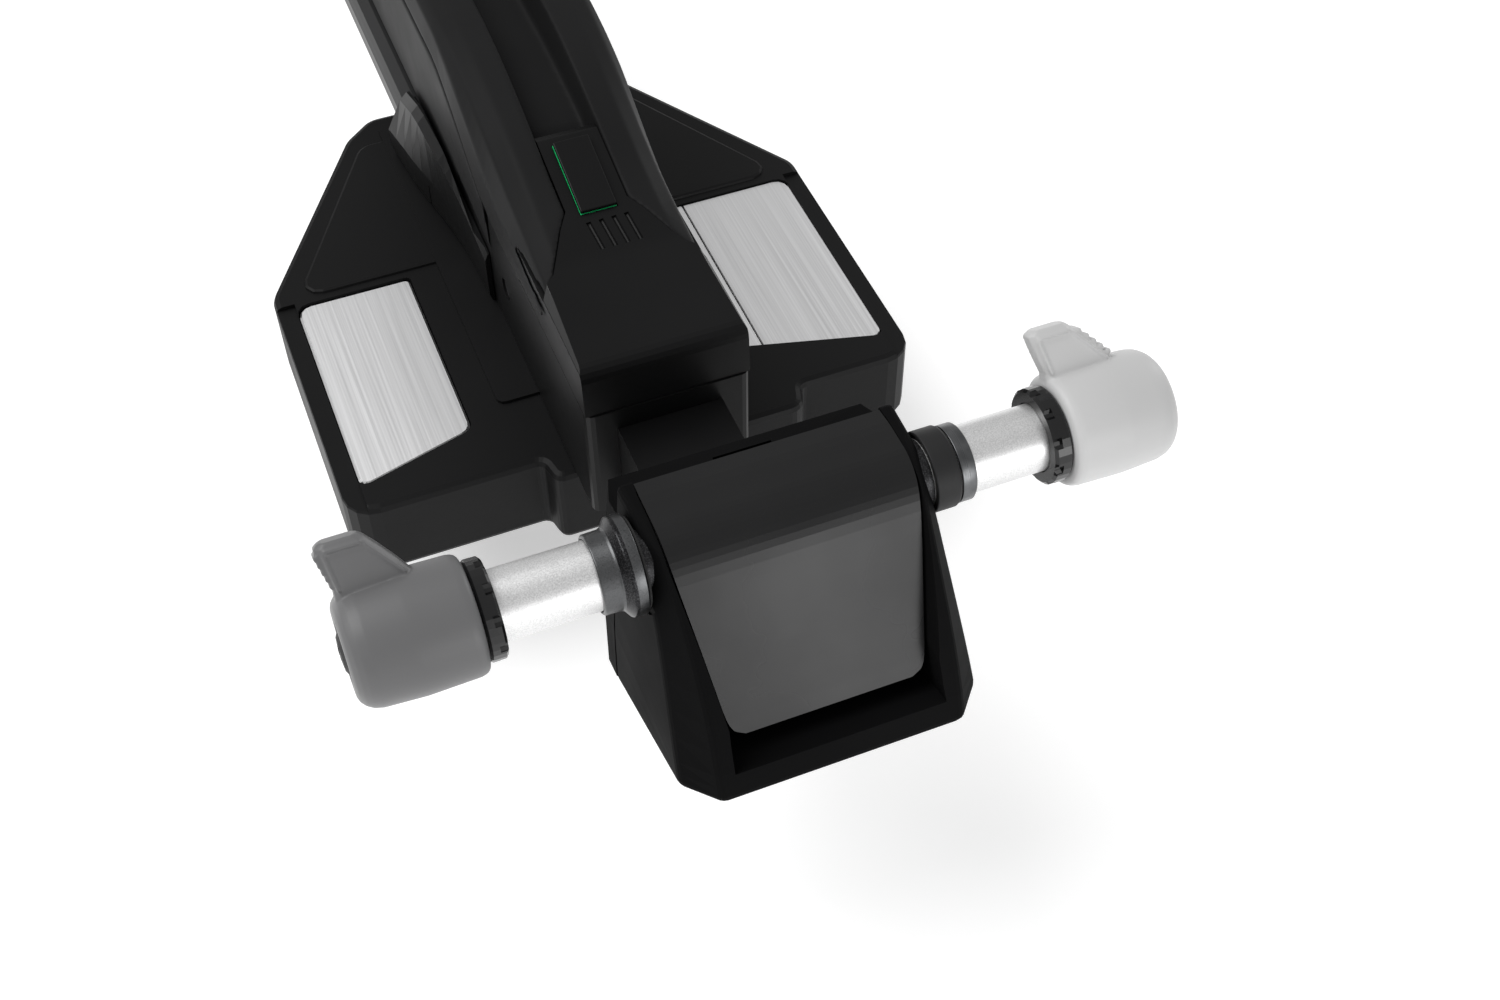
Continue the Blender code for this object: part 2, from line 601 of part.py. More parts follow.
SHROUD = [  # y, channel floor, inner top, middle top, outer x and z, lower side z
    (124.0, -22.0, -20.2, -21.0, 27.8, -25.6, -28.0), (150.0, -20.0, -14.6, -15.2, 28.6, -25.5, -34.0),
    (170.0, -20.0, -9.6, -10.4, 29.2, -24.5, -37.5), (185.0, -20.0, -5.0, -6.0, 29.4, -20.0, -37.0),
    (200.0, -11.5, -0.6, -1.8, 29.4, -12.5, -34.0), (215.0, -9.5, 3.2, 2.4, 29.4, -5.0, -25.5),
    (230.0, -8.0, 6.0, 5.4, 29.2, 0.2, -16.0), (250.0, -7.0, 7.6, 7.2, 28.8, 3.6, -8.5),
    (330.0, -7.0, 7.6, 7.2, 28.6, 3.6, -8.5), (352.0, -9.0, 5.5, 5.0, 28.6, 1.0, -11.5),
    (420.0, -45.0, -37.0, -37.5, 28.6, -41.0, -49.0), (436.0, -50.5, -47.0, -47.5, 28.6, -50.0, -52.5),
]
SIDE_OUT = 30.4
FIRST_FAIRING = 4       # the fairing starts at this row of SHROUD


def shroud_sole(row):
    return min(row[6], row[1] - 3.0)


def shroud_ring(row):
    y, floor, inner, middle, out_x, out_z, side_z = row
    half = [(0, floor), (9.4, floor), (11.0, inner), (20.0, middle), (26.0, (middle * 2 + out_z) / 3),
            (out_x, out_z), (SIDE_OUT - 0.4, side_z), (SIDE_OUT - 1.6, side_z), (25.0, shroud_sole(row)),
            (0, shroud_sole(row))]
    return [(x, y, z) for x, z in mirrored(half)]


def tray_shroud():
    """The raised nose over the tray's front end: two bands with the wheel channel between them."""
    shroud = loft("tray_shroud", [shroud_ring(row) for row in eased(SHROUD, 3)], "black_plastic")
    room = block("shroud_room", (-HOUSING_HALF - GAP, 80.0, -90.0), (HOUSING_HALF + GAP, 240.0 + GAP, -23.7))
    spine = block("spine_room", (-11.0, 80.0, -60.0), (11.0, 190.0 + GAP, 40.0))
    for side in (-1, 1):
        front = [(0.0, 100.0), (side * 60.0, 100.0), (side * 60.0, 120.3), (side * 40.0, 120.3),
                 (side * 22.6, 136.3), (side * 14.5, 152.3), (side * 10.7, 158.3), (0.0, 158.3)]
        cut(shroud, slab("shroud_front", front if side > 0 else front[::-1], "XY", -90.0, 40.0))
    cut(shroud, spine, room)


def tray_fairing():
    """The shell between the shroud and the tray; its sides carry the shroud's lower edge."""
    rings = []
    for row in eased(SHROUD, 3)[3 * FIRST_FAIRING:]:
        top = row[6] - 3 * GAP
        middle = shroud_sole(row) - 4 * GAP
        half = [(0, middle), (25.2, middle), (SIDE_OUT - 1.8, top), (SIDE_OUT - 0.6, top),
                (SIDE_OUT - 0.4, top - 1.2), (28.4, -62.6), (22.6, -62.6), (22.0, -57.4), (0, -57.4)]
        rings.append([(x, row[0], z) for x, z in mirrored(half)])
    fairing = loft("tray_fairing", rings, "black_plastic")
    room = block("fairing_room", (-HOUSING_HALF - GAP, 80.0, -90.0), (HOUSING_HALF + GAP, 240.0 + GAP, 40.0))
    inner = block("fairing_duct", (-18.0, 236.0, -80.0), (18.0, 345.0, -20.0))
    cut(fairing, inner, room)


RAIL_X = 25.5
RAIL_Z = -75.2
RAIL_R = 10.5
TRAY_SOLE = RAIL_Z - RAIL_R
TRAY_FLOOR = -80.5
LIP_IN = 18.6
LIP_OUT = 21.2
LIP_TOP = -58.0


def rail_arc(extra=0.0):
    """The round outer part of the right rail's section."""
    r = RAIL_R + extra
    return [(RAIL_X + r * math.sin(a), RAIL_Z + r * math.cos(a))
            for a in (math.radians(t) for t in (-8, 20, 45, 70, 90, 110, 135, 160, 180))]


def tray_outline(extra=0.0):
    """The tray's whole section: a shallow channel with a lip and a round rail along each side."""
    half = [(0, TRAY_FLOOR + extra), (13.5, TRAY_FLOOR + extra), (LIP_IN - extra, TRAY_FLOOR + 6.0),
            (LIP_IN - extra, LIP_TOP + extra), (LIP_OUT + extra, LIP_TOP + extra),
            (LIP_OUT + extra, RAIL_Z + (RAIL_R + extra) * 0.9), *rail_arc(extra), (0, TRAY_SOLE - extra)]
    return mirrored(half)


TRAY_BOLT_X = 7.2


def tray():
    """The wheel channel: a floor with slots for the rear foot's bolts, and a lipped rail on each side."""
    edge = LIP_IN - GAP
    floor = mirrored([(0, TRAY_FLOOR), (13.5, TRAY_FLOOR), (edge, TRAY_FLOOR + 5.6), (edge, TRAY_SOLE),
                      (0, TRAY_SOLE)])
    channel = slab("tray_floor", floor, "XZ", TRAY_FRONT, TRAY_REAR, "tray_black")
    rail = [(LIP_IN, LIP_TOP), (LIP_OUT, LIP_TOP), (LIP_OUT, RAIL_Z + RAIL_R * 0.9), *rail_arc(),
            (LIP_IN, TRAY_SOLE)]
    for name, side in (("left_tray_rail", -1), ("right_tray_rail", 1)):
        slab(name, [(side * x, z) for x, z in rail], "XZ", TRAY_FRONT, TRAY_REAR, "tray_black")
        middle = side * TRAY_BOLT_X
        cut(channel, block("tray_bolt_slot", (middle - 3.6, REAR_BAR_Y - 28.0, -95.0),
                           (middle + 3.6, REAR_BAR_Y + 28.0, -70.0)))


def tray_end_cap():
    grown = slab("tray_end_cap", tray_outline(1.6), "XZ", TRAY_REAR - 14.0, TRAY_REAR + 4.0, "soft_black")
    cut(grown, slab("cap_room", tray_outline(GAP), "XZ", TRAY_REAR - 20.0, TRAY_REAR + GAP))


def socket(name, side):
    """The sleeve that takes the front end of one tray rail and fairs it into the housing."""
    sole = INNER_PAD_TOP + GAP
    rings = []
    for y, out, top, shoulder in eased([(204.0, 30.4, -64.0, 29.2), (228.0, 31.4, -57.0, 29.8),
                                        (250.0, 34.0, -51.5, 30.6), (275.0, 38.6, -52.0, 31.4),
                                        (302.0, 41.4, -60.0, 32.0)], 3):
        points = [(28.6, sole), (out - 1.0, sole), (out, sole + 3), (out, (sole + top) / 2 - 2),
                  (min(shoulder + 3.0, out), top - 3), (shoulder, top), (28.6, top)]
        rings.append([(side * x, y, z) for x, z in points])
    sleeve = loft(name, rings, "black_plastic")
    rail_room = slab(name + "_rail", tray_outline(GAP), "XZ", TRAY_FRONT - GAP, 320.0)
    under_x = sorted((side * 20.0, side * (RAIL_X + RAIL_R + GAP)))
    under = block(name + "_under", (under_x[0], TRAY_FRONT - GAP, -95.0), (under_x[1], 321.0, RAIL_Z))
    shell_x = sorted((side * 15.0, side * (SIDE_OUT + 0.3)))
    side_room = block(name + "_shell", (shell_x[0], 190.0, -63.0), (shell_x[1], 322.0, 0.0))
    cut(sleeve, rail_room, under, side_room)


# ---------------------------------------------------------------- feet and clamps

CLAMP_BOLTS = [(x, BAR_Y + y) for x in (-34.0, 34.0) for y in (-50.0, 50.0)]


def front_pad():
    slab("front_bar_pad", rounded([(-60, BAR_Y - 38), (60, BAR_Y - 38), (60, BAR_Y + 38), (-60, BAR_Y + 38)],
                                  [6, 6, 6, 6], 3), "XY", PAD_SOLE, BASE_SOLE - GAP, "black_rubber")


def front_clamp():
    """The plate under the front bar, its pad, and the four bolts that draw it up."""
    half = 46.0
    reach = 60.0
    plate = slab("front_clamp_plate", rounded([(-half, BAR_Y - reach), (half, BAR_Y - reach),
                                               (half, BAR_Y + reach), (-half, BAR_Y + reach)],
                                              [10, 10, 10, 10], 3), "XY", GROUND, GROUND + 8.0, "aluminium")
    slab("front_clamp_pad", rounded([(-half + 4, BAR_Y - 36), (half - 4, BAR_Y - 36), (half - 4, BAR_Y + 36),
                                     (-half + 4, BAR_Y + 36)], [5, 5, 5, 5], 3),
         "XY", GROUND + 8.0 + GAP, GROUND + 10.6, "black_rubber")
    soften(plate, 1.5)
    for number, (x, y) in enumerate(CLAMP_BOLTS, 1):
        cut(plate, rod("plate_hole", (x, y, GROUND - 5), (x, y, GROUND + 20), 4.6, sides=20))
        cut(plate, rod("plate_sink", (x, y, GROUND - 5), (x, y, GROUND + 5.2), 8.0, sides=20))
        bolt = rod("front_clamp_bolt_%d" % number, (x, y, GROUND + 2.0), (x, y, -119.0), 4.0, "steel", 20)
        grow(bolt, rod("bolt_head", (x, y, GROUND + 0.6), (x, y, GROUND + 4.9), 7.0, sides=6))


CLAW_HALF = 26.0
REAR_TOP = TRAY_SOLE - GAP
REAR_ROD_Z = -108.0


def rear_foot():
    """The foot under the tray with a fixed claw in front of the rear bar."""
    front = REAR_BAR_Y - BAR_HALF - 8.0
    rear = REAR_BAR_Y + BAR_HALF - 12.0
    profile = rounded([(front - 8, REAR_TOP), (front - 8, -130.0), (front - 2, GROUND), (front + 20, GROUND),
                       (front + 20, GROUND + 7), (front + 6, GROUND + 9), (front + 6, BASE_SOLE),
                       (rear, BASE_SOLE), (rear + 8, REAR_TOP - 10), (rear + 8, REAR_TOP)],
                      [0, 6, 4, 2, 2, 4, 3, 2, 6, 0], 3)
    foot = slab("rear_foot", profile, "YZ", -CLAW_HALF - 4, CLAW_HALF + 4, "black_plastic")
    tunnel = rod("rod_tunnel", (0, front + 4, REAR_ROD_Z), (0, rear + 20, REAR_ROD_Z), 4.4, sides=20)
    bolts = [rod("foot_bolt_hole", (x, REAR_BAR_Y, REAR_TOP - 20), (x, REAR_BAR_Y, REAR_TOP + 5), 3.4, sides=20)
             for x in (-TRAY_BOLT_X, TRAY_BOLT_X)]
    cut(foot, tunnel, *bolts)


def tray_bolts():
    for number, x in enumerate((-TRAY_BOLT_X, TRAY_BOLT_X), 1):
        shank = rod("tray_bolt_%d" % number, (x, REAR_BAR_Y, REAR_TOP - 18), (x, REAR_BAR_Y, TRAY_FLOOR + 1.0),
                    3.0, "steel", 16)
        grow(shank, rod("tray_bolt_head", (x, REAR_BAR_Y, TRAY_FLOOR + GAP), (x, REAR_BAR_Y, TRAY_FLOOR + 3.2),
                        5.5, sides=24))


def rear_pad():
    slab("rear_bar_pad", rounded([(-24, REAR_BAR_Y - 36), (24, REAR_BAR_Y - 36), (24, REAR_BAR_Y + 26),
                                  (-24, REAR_BAR_Y + 26)], [4, 4, 4, 4], 3),
         "XY", PAD_SOLE, BASE_SOLE - GAP, "black_rubber")


JAW_Y = REAR_BAR_Y + BAR_HALF + 18.0
KNOB_Y = JAW_Y + 16.0


def rear_clamp():
    """The sliding claw behind the rear bar, its draw rod and the knob that pulls it in."""
    z = REAR_ROD_Z
    claw = slab("rear_clamp_jaw", rounded([(JAW_Y + 12, -99.0), (JAW_Y + 12, -140.0), (JAW_Y + 4, GROUND),
                                           (JAW_Y - 26, GROUND), (JAW_Y - 26, GROUND + 7),
                                           (JAW_Y - 2, GROUND + 10), (JAW_Y - 2, -99.0)],
                                          [3, 6, 4, 2, 2, 4, 2], 3), "YZ", -CLAW_HALF, CLAW_HALF, "black_plastic")
    cut(claw, rod("jaw_hole", (0, JAW_Y - 20, z), (0, JAW_Y + 30, z), 4.6, sides=20))
    rod("rear_draw_rod", (0, REAR_BAR_Y - BAR_HALF + 2, z), (0, KNOB_Y + 26, z), 4.0, "steel", 20)
    outline = []
    for step in range(40):
        turn = math.tau * step / 40
        reach = 17.0 + 2.6 * math.cos(5 * turn)
        outline.append((reach * math.cos(turn), z + reach * math.sin(turn)))
    hand = soften(slab("rear_clamp_knob", outline, "XZ", KNOB_Y - 3, KNOB_Y + 17, "soft_black"), 1.5, 1, 60)
    cut(hand, rod("knob_hole", (0, KNOB_Y - 10, z), (0, KNOB_Y + 40, z), 4.3, sides=20))
    pivot(claw, 0, JAW_Y, z)
    pivot(hand, 0, KNOB_Y, z)


# ---------------------------------------------------------------- wheel cradle and strap

EAR_X = 41.0            # outer face of the cradle's ears
STRAP_X = EAR_X + 4.0   # outer face of the strap's straight sides
STRAP_TOP = 52.0
STRAP_THICK = 2.4


def wheel_cradle():
    """The saddle that clips round both rails and slides along the tray."""
    sole = RAIL_Z - 4.0
    side = RAIL_X + RAIL_R + 0.6
    half = [(0, -70.0), (14.0, -60.0), (21.0, -54.0), (28.0, -57.0), (EAR_X, -63.0), (EAR_X, sole), (side, sole),
            (side, RAIL_Z + 2.0), (31.5, -63.6), (LIP_OUT + 0.7, -63.6), (LIP_OUT + 0.7, LIP_TOP + 0.6),
            (LIP_IN - 0.6, LIP_TOP + 0.6), (LIP_IN - 0.6, -73.6), (15.0, -76.6), (0, -76.6)]
    slab("wheel_cradle", mirrored(half), "XZ", CRADLE_Y - 60.0, CRADLE_Y + 60.0, "black_plastic")


def wheel_strap():
    """The flat strap that arches over the rim, from the left ear to the ratchet on the right."""
    half_width = 12.5
    base = -58.0
    radius = 36.0
    outer = [(STRAP_X, base)]
    inner = [(STRAP_X - STRAP_THICK, base)]
    for step in range(9):
        turn = math.pi / 2 * step / 8
        for arc, reach in ((outer, radius), (inner, radius - STRAP_THICK)):
            arc.append((STRAP_X - radius + reach * math.cos(turn), STRAP_TOP - radius + reach * math.sin(turn)))
    outline = outer + [(-x, z) for x, z in reversed(outer)] + [(-x, z) for x, z in inner] + inner[::-1]
    slab("wheel_strap", outline, "XZ", CRADLE_Y - half_width, CRADLE_Y + half_width, "strap_black")


def strap_anchors():
    """The blocks that join the strap's two ends to the cradle."""
    for name, side in (("left_strap_anchor", -1), ("right_strap_anchor", 1)):
        edges = sorted((side * (EAR_X + GAP), side * (STRAP_X - STRAP_THICK - GAP)))
        block(name, (edges[0], CRADLE_Y - 14, -78.0), (edges[1], CRADLE_Y + 14, -50.0), "soft_black")


BUCKLE_PIN = (EAR_X + 15.0, -30.0)


def buckle():
    """The ratchet on the strap's right side: a frame with two cheeks, and a lever on a pin."""
    x = STRAP_X + GAP
    frame = block("buckle_frame", (x, CRADLE_Y - 15, -58.0), (x + 3.0, CRADLE_Y + 15, -10.0), "soft_black")
    for side in (-1, 1):
        y = CRADLE_Y + side * 13.5
        cheek = slab("cheek", rounded([(x + 1, -50.0), (x + 15, -38.0), (x + 15, -24.0), (x + 1, -14.0)],
                                      [0, 4, 4, 0], 3), "XZ", y - 1.5, y + 1.5)
        grow(frame, cheek)
    px, pz = BUCKLE_PIN
    cut(frame, rod("buckle_bore", (px, CRADLE_Y - 20, pz), (px, CRADLE_Y + 20, pz), 1.9, sides=16))
    rod("buckle_pin", (px, CRADLE_Y - 15.5, pz), (px, CRADLE_Y + 15.5, pz), 1.6, "steel", 16)
    lever = slab("buckle_lever", rounded([(px - 3.6, pz - 4.0), (px + 4.0, pz - 4.0), (px + 6.0, pz + 8.0),
                                          (px + 5.0, pz + 44.0), (px + 1.6, pz + 44.0), (px - 1.0, pz + 8.0),
                                          (px - 3.6, pz + 3.5)], [2, 3, 4, 1.4, 1.4, 4, 2], 2),
                 "XZ", CRADLE_Y - 11.5, CRADLE_Y + 11.5, "black_plastic")
    cut(lever, rod("lever_bore", (px, CRADLE_Y - 20, pz), (px, CRADLE_Y + 20, pz), 1.9, sides=16))
    pivot(lever, px, CRADLE_Y, pz)


def side_bolts():
    """The two capped bolts that pin the housing to the arm inside it."""
    for name, side in (("left_side_bolt", -1), ("right_side_bolt", 1)):
        rod(name, (side * 14.0, 185.0, -65.0), (side * 27.4, 185.0, -65.0), 4.0, "soft_black", 20)


def arm():
    """The aluminium arm inside the housing that carries the head's load to the base."""
    cut(block("inner_arm", (-13.5, 104.0, INNER_PAD_TOP + 3.0), (13.5, 226.0, -48.0), "aluminium"),
        rod("arm_hole", (-20, 185.0, -65.0), (20, 185.0, -65.0), 4.4, sides=20))


def main():
    start()
    head_housing()
    head_back_cover()
    front_flap()
    flap_hinge_pin()
    axle_tube()
    draw_rod()
    hub_washers()
    knob("left", -87.8, -122.0, -111.0, -116.5, "knob_grey")
    collar("left", -82.5, -87.5)
    knob_cap("lock_core", -119.3, -1)
    knob("right", 83.8, 118.0, 94.4, 87.5, "pale_grey")
    collar("right", 78.0, 83.5)
    knob_cap("right_knob_cap", 115.3, 1)
    neck()
    base_moulding()
    side_plates()
    lower_housing()
    arm()
    side_bolts()
    top_cover()
    release_button()
    coil("button_spring", (0, 170.5, -47.2), 29.0, 3.4, 0.5, 6, "steel")
    tray_shroud()
    tray_fairing()
    tray()
    tray_end_cap()
    socket("left_rail_socket", -1)
    socket("right_rail_socket", 1)
    front_pad()
    front_clamp()
    rear_foot()
    tray_bolts()
    rear_pad()
    rear_clamp()
    wheel_cradle()
    wheel_strap()
    strap_anchors()
    buckle()


main()
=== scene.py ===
"""The visual model of a fork-mount roof bicycle carrier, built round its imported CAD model.

Places in the CAD frame are in metres: X to the right along the axle, Y rearwards along the tray, Z up. The
profiles, fins and edges of pieces are given in millimetres.
"""
import json
import math

import bmesh
import bpy
from mathutils import Matrix, Vector


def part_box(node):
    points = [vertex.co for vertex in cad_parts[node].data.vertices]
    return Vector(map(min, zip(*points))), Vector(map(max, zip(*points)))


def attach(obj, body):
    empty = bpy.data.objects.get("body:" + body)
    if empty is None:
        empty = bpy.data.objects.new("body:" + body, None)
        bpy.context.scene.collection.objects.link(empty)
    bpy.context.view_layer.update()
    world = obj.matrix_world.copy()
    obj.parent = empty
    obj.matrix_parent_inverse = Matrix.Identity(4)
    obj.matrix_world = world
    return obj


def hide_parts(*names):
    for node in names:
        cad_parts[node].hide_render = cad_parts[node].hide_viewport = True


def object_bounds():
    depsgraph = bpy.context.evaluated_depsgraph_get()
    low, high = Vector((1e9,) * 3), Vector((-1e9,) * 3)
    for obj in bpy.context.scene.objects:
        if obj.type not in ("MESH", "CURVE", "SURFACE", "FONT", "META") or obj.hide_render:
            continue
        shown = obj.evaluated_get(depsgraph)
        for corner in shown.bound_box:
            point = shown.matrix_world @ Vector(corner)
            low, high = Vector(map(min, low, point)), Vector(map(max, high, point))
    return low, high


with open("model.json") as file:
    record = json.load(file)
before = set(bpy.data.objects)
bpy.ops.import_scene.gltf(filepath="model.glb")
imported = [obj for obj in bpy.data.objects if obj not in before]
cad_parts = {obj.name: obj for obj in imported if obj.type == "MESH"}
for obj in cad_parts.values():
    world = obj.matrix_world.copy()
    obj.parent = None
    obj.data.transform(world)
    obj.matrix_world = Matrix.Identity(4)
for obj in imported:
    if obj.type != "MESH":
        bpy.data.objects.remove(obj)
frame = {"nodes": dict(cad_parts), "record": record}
CAD_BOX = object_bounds()
NODES = frame["nodes"]

MM = 0.001
AXLE = sum(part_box("axle_tube"), Vector()) / 2


# ---------------------------------------------------------------- camera, light and floor

CAMERA_TURNS = (-21.834, 49.401, -0.279)       # azimuth, elevation and roll, in degrees
CAMERA_FROM_AXLE = (-8.397, 4.551, 526.315)    # millimetres to the camera's own right, up and back
LENS = 45.82
SENSOR_WIDTH = 36.0

WORLD_STRENGTH = 0.5
WHITE = (1.0, 1.0, 1.0, 1.0)
# name: place, target, side of the square in metres, watts
LIGHTS = {
    "front": ((0.8, -2.7, 0.5), (0.0, -0.1, 0.0), 1.2, 7.0),
    "low_front": ((0.35, -1.15, 0.12), (0.0, -0.25, 0.05), 0.5, 2.2),
    "over": ((-1.7, 0.7, 2.8), (0.0, 0.2, 0.0), 2.6, 84.0),
    "side": ((2.5, 1.0, 0.9), (0.0, 0.1, 0.0), 0.9, 12.0),
}

FLOOR_HALF = 12.0
FLOOR_CENTRE_Y = 0.4
FLOOR_GREY = 0.80
FLOOR_GLOW = 0.42
FLOOR_GAP = 0.2 * MM


def link_object(name, data):
    made = bpy.data.objects.new(name, data)
    bpy.context.scene.collection.objects.link(made)
    return made


def camera():
    """The camera stands ahead of the head, above it and a little to its left."""
    azimuth, elevation, roll = (math.radians(v) for v in CAMERA_TURNS)
    back = Vector((math.sin(azimuth) * math.cos(elevation), -math.cos(azimuth) * math.cos(elevation),
                   math.sin(elevation)))
    right = Vector((math.cos(azimuth), math.sin(azimuth), 0.0))
    level = Matrix((right, back.cross(right), back))
    tilt = Matrix(((math.cos(roll), math.sin(roll), 0), (-math.sin(roll), math.cos(roll), 0), (0, 0, 1)))
    turn = (tilt @ level).transposed()
    data = bpy.data.cameras.new("camera")
    data.lens = LENS
    data.sensor_width = SENSOR_WIDTH
    data.clip_start = 0.01
    made = link_object("camera", data)
    place = AXLE + turn @ Vector(CAMERA_FROM_AXLE) * MM
    made.matrix_world = Matrix.Translation(place) @ turn.to_4x4()
    bpy.context.scene.camera = made


def area_light(name, place, target, side, watts):
    data = bpy.data.lights.new(name, "AREA")
    data.shape = "SQUARE"
    data.size = side
    data.energy = watts
    made = link_object(name, data)
    made.location = place
    made.rotation_euler = (Vector(target) - Vector(place)).to_track_quat("-Z", "Y").to_euler()


def studio():
    """Soft light from a white world and square lights, with plain colours."""
    world = bpy.data.worlds.new("studio")
    world.use_nodes = True
    world.node_tree.nodes["Background"].inputs["Color"].default_value = WHITE
    world.node_tree.nodes["Background"].inputs["Strength"].default_value = WORLD_STRENGTH
    bpy.context.scene.world = world
    bpy.context.scene.view_settings.view_transform = "Standard"
    for name, light in LIGHTS.items():
        area_light(name, *light)


def floor_material():
    """A pale floor that glows a little, so that it stays near white in the shadows."""
    pale = bpy.data.materials.new("pale_floor")
    pale.use_nodes = True
    shader = pale.node_tree.nodes["Principled BSDF"]
    shader.inputs["Base Color"].default_value = (FLOOR_GREY, FLOOR_GREY, FLOOR_GREY, 1.0)
    shader.inputs["Roughness"].default_value = 0.9
    shader.inputs["Specular IOR Level"].default_value = 0.0
    shader.inputs["Emission Color"].default_value = WHITE
    shader.inputs["Emission Strength"].default_value = FLOOR_GLOW
    return pale


def floor():
    bm = bmesh.new()
    bmesh.ops.create_grid(bm, x_segments=1, y_segments=1, size=FLOOR_HALF)
    mesh = bpy.data.meshes.new("floor")
    bm.to_mesh(mesh)
    bm.free()
    mesh.materials.append(floor_material())
    ground = link_object("floor", mesh)
    ground.location = (0.0, FLOOR_CENTRE_Y, CAD_BOX[0][2] - FLOOR_GAP)


# ---------------------------------------------------------------- materials

# the dark colour of painted shade on turned metal, where it runs into another part
PAINTED_SHADE_COLOUR = (0.02, 0.02, 0.021)


def multiple(colour, factor):
    return tuple(min(c * factor, 1.0) for c in colour) + (1.0,)


class Paint:
    """A small builder for node materials in the CAD frame's coordinates."""

    def __init__(self, name, colour, roughness, metallic=0.0, ior=1.45):
        self.material = bpy.data.materials.new(name)
        self.material.use_nodes = True
        self.tree = self.material.node_tree
        self.shader = self.tree.nodes["Principled BSDF"]
        self.colour = colour
        self.roughness = roughness
        self.shader.inputs["Roughness"].default_value = roughness
        self.shader.inputs["Metallic"].default_value = metallic
        self.shader.inputs["IOR"].default_value = ior
        self.place = self.tree.nodes.new("ShaderNodeTexCoord").outputs["Object"]

    def link(self, source, target):
        self.tree.links.new(source, target)

    def stretched(self, scale):
        mapping = self.tree.nodes.new("ShaderNodeMapping")
        mapping.inputs["Scale"].default_value = scale
        self.link(self.place, mapping.inputs["Vector"])
        return mapping.outputs["Vector"]

    def noise(self, scale, detail=2.0, stretch=(1.0, 1.0, 1.0)):
        node = self.tree.nodes.new("ShaderNodeTexNoise")
        node.inputs["Scale"].default_value = scale
        node.inputs["Detail"].default_value = detail
        self.link(self.stretched(stretch), node.inputs["Vector"])
        return node.outputs["Fac"]

    def cells(self, scale):
        node = self.tree.nodes.new("ShaderNodeTexVoronoi")
        node.feature = "SMOOTH_F1"
        node.inputs["Scale"].default_value = scale
        self.link(self.place, node.inputs["Vector"])
        return node.outputs["Distance"]

    def mapped(self, value, low, high, start=0.3, end=0.7):
        node = self.tree.nodes.new("ShaderNodeMapRange")
        node.inputs["From Min"].default_value = start
        node.inputs["From Max"].default_value = end
        node.inputs["To Min"].default_value = low
        node.inputs["To Max"].default_value = high
        self.link(value, node.inputs["Value"])
        return node.outputs["Result"]

    def rough(self, value, spread):
        """The roughness varies by the spread to both sides."""
        result = self.mapped(value, self.roughness - spread, self.roughness + spread)
        self.link(result, self.shader.inputs["Roughness"])

    def mixed(self, factor):
        """A mix of two colours, whose sockets the caller fills in."""
        mix = self.tree.nodes.new("ShaderNodeMix")
        mix.data_type = "RGBA"
        self.link(factor, mix.inputs["Factor"])
        return mix

    def shade(self, value, dark, light):
        """The base colour varies between two multiples of itself."""
        mix = self.mixed(self.mapped(value, 0.0, 1.0))
        mix.inputs["A"].default_value = multiple(self.colour, dark)
        mix.inputs["B"].default_value = multiple(self.colour, light)
        self.paint_with(mix.outputs["Result"])

    def paint_with(self, result):
        self.link(result, self.shader.inputs["Base Color"])
        self.painted = result

    def painted_shade_band(self, band, value):
        """Between two places along the axle, in millimetres, the metal is painted dark with lighter flecks:
        painted shade where it runs into another part.
        """
        split = self.tree.nodes.new("ShaderNodeSeparateXYZ")
        self.link(self.place, split.inputs["Vector"])
        # the stretch along the axle that gets painted shade
        in_painted_shade = self.tree.nodes.new("ShaderNodeMath")
        in_painted_shade.operation = "COMPARE"
        self.link(split.outputs["X"], in_painted_shade.inputs[0])
        in_painted_shade.inputs[1].default_value = (band[0] + band[1]) / 2 * MM
        in_painted_shade.inputs[2].default_value = (band[1] - band[0]) / 2 * MM
        flecks = self.mixed(self.mapped(value, 0.0, 1.0, 0.45, 0.75))
        flecks.inputs["A"].default_value = multiple(PAINTED_SHADE_COLOUR, 1.0)
        flecks.inputs["B"].default_value = multiple(PAINTED_SHADE_COLOUR, 4.0)
        mix = self.mixed(in_painted_shade.outputs[0])
        self.link(self.painted, mix.inputs["A"])
        self.link(flecks.outputs["Result"], mix.inputs["B"])
        self.paint_with(mix.outputs["Result"])

    def bump(self, value, height, strength):
        """Relief of a height in metres."""
        node = self.tree.nodes.new("ShaderNodeBump")
        node.inputs["Strength"].default_value = strength
        node.inputs["Distance"].default_value = height
        self.link(value, node.inputs["Height"])
        self.link(node.outputs["Normal"], self.shader.inputs["Normal"])


def moulded(name, colour, roughness, ior, grain=1400.0, height=0.00002):
    """Injection-moulded plastic: a fine spark-eroded grain, and slow changes in gloss."""
    paint = Paint(name, colour, roughness, ior=ior)
    paint.rough(paint.noise(26.0, 3.0), 0.05)
    paint.shade(paint.noise(9.0, 2.0), 0.85, 1.2)
    paint.bump(paint.cells(grain), height, 0.5)
    return paint.material


def brushed(name, colour, roughness):
    """Brushed metal: long fine scratches along the carrier."""
    paint = Paint(name, colour, roughness, metallic=1.0)
    streaks = paint.noise(1.0, 3.0, (1500.0, 9.0, 1500.0))
    paint.rough(streaks, 0.06)
    paint.shade(streaks, 0.9, 1.05)
    paint.bump(streaks, 0.000012, 0.5)
    return paint.material


def turned_steel(name, colour, roughness):
    """Steel with the rings a lathe leaves, which run round the axle."""
    paint = Paint(name, colour, roughness, metallic=1.0)
    rings = paint.noise(1.0, 2.0, (4200.0, 6.0, 6.0))
    paint.rough(rings, 0.08)
    paint.shade(paint.noise(260.0, 3.0), 0.75, 1.15)
    paint.bump(rings, 0.00001, 0.6)
    return paint.material


